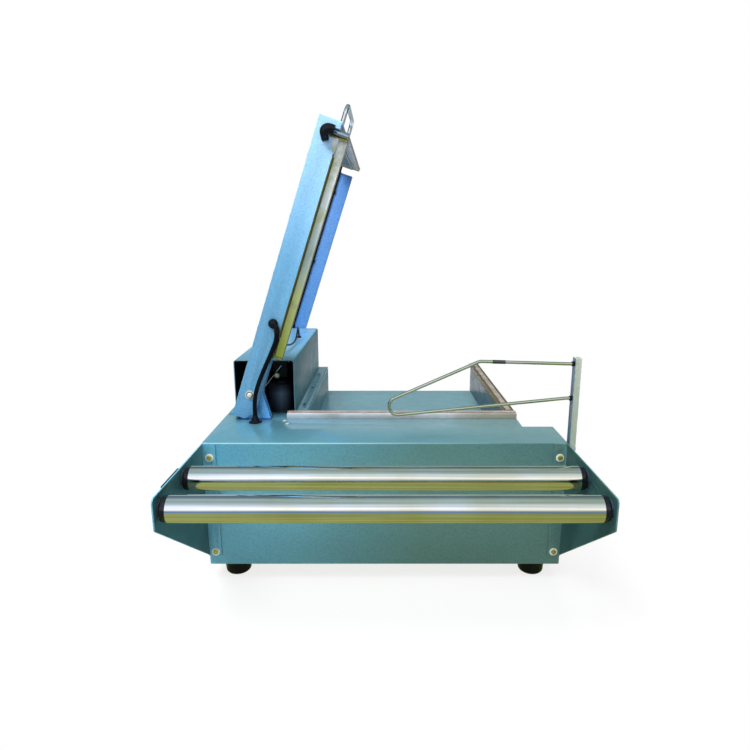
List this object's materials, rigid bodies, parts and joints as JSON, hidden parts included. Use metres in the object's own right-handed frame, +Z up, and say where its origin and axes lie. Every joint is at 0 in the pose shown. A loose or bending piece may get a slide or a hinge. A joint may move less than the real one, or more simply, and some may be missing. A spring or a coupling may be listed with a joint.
{
  "type": "l-bar film sealer",
  "caption": "Bench L-bar sealer with a hinged sealing lid standing open, sunk product tray, two film rollers and a film-opener wire.",
  "frame": {"origin": "on the floor under the middle of the machine's plan", "axes": "+X from the hinge side to the operator's side, +Y from the rollers to the far end, +Z up"},
  "size_m": [0.64, 0.8132, 0.8557],
  "materials": {
    "casing_paint": "hammered enamel, semi gloss",
    "tray_paint": "hammered enamel, satin",
    "hood_paint": "hammered enamel, semi gloss",
    "lid_paint": "hammered enamel, semi gloss",
    "bracket_paint": "gloss enamel",
    "post_paint": "gloss enamel",
    "zinc_sheet": "galvanised",
    "zinc_fixing": "bright zinc",
    "steel": "ground",
    "spring_steel": "oiled",
    "chrome": "polished",
    "bronze": "satin",
    "aluminium": "brushed",
    "silicone": "matte",
    "heat_wire": "heat stained",
    "insulator": "laminated board",
    "black_rubber": "matte",
    "black_plastic": "moulded",
    "cable_sheath": "satin",
    "core_steel": "black enamelled can",
    "lamp_lens": "gloss"
  },
  "bodies": {
    "base": {"base_casing": "casing_paint", "left_roller_bracket": "casing_paint", "right_roller_bracket": "casing_paint", "product_tray": "tray_paint", "hood_cover": "hood_paint", "hood_end_plate": "hood_paint", "near_pivot_bracket": "bracket_paint", "far_pivot_bracket": "bracket_paint", "opener_post": "post_paint", "bottom_plate": "zinc_sheet", "deck_screws": "zinc_fixing", "foot_screws": "zinc_fixing", "roller_box_screws": "zinc_fixing", "pivot_bracket_bolts": "zinc_fixing", "opener_sleeve": "zinc_fixing", "roller_axles": "steel", "lift_springs": "spring_steel", "spring_anchors": "spring_steel", "film_opener": "chrome", "pivot_bushes": "bronze", "near_seal_base": "aluminium", "side_seal_base": "aluminium", "near_seal_insert": "silicone", "side_seal_insert": "silicone", "rubber_feet": "black_rubber", "bracket_pad": "black_rubber", "deck_glands": "black_rubber", "post_bushes": "black_plastic", "switch_frame": "black_plastic", "mains_inlet": "black_plastic", "lid_cable": "cable_sheath", "hood_lead": "cable_sheath", "transformer": "core_steel", "pilot_lamp": "lamp_lens"},
    "lid": {"near_arm": "lid_paint", "front_arm": "lid_paint", "far_arm": "lid_paint", "bar_studs": "zinc_fixing", "near_seal_bar": "aluminium", "front_seal_bar": "aluminium", "near_insulator": "insulator", "front_insulator": "insulator", "sealing_wire": "heat_wire", "corner_separator": "insulator", "corner_clamp": "zinc_fixing", "wire_end_clamps": "heat_wire", "lid_handle": "chrome", "handle_fixings": "zinc_fixing", "arm_glands": "black_rubber", "upper_boot": "black_rubber", "far_arm_lead": "black_rubber", "pivot_shaft": "steel", "pivot_screws": "zinc_fixing", "spring_collars": "steel"},
    "rear_roller": {"rear_roller_tube": "chrome", "rear_roller_plugs": "black_plastic"},
    "front_roller": {"front_roller_tube": "chrome", "front_roller_plugs": "black_plastic"},
    "rocker": {"switch_rocker": "black_plastic"},
    "knob": {"timer_knob": "black_plastic"}
  },
  "joints": [
    {"name": "lid_hinge", "type": "hinge", "parent": "base", "child": "lid", "pos_m": [-0.261, 0.1764, 0.305], "axis": [0, 1, 0], "range_deg": [0, 71.5], "stiffness_Nm_per_rad": 5, "springref_deg": -49.85, "deforming": ["lift_springs", "lid_cable", "hood_lead"]},
    {"name": "rear_roller_spin", "type": "hinge", "parent": "base", "child": "rear_roller", "pos_m": [-0.006, -0.2916, 0.235], "axis": [1, 0, 0], "continuous": true},
    {"name": "front_roller_spin", "type": "hinge", "parent": "base", "child": "front_roller", "pos_m": [-0.006, -0.3846, 0.2315], "axis": [1, 0, 0], "continuous": true},
    {"name": "power_rocker", "type": "hinge", "parent": "base", "child": "rocker", "pos_m": [0.243, 0.0754, 0.154], "axis": [0, 0, 1], "range_deg": [-14, 0]},
    {"name": "timer_turn", "type": "hinge", "parent": "base", "child": "knob", "pos_m": [0.248, 0.1554, 0.154], "axis": [1, 0, 0], "range_deg": [0, 270]}
  ]
}
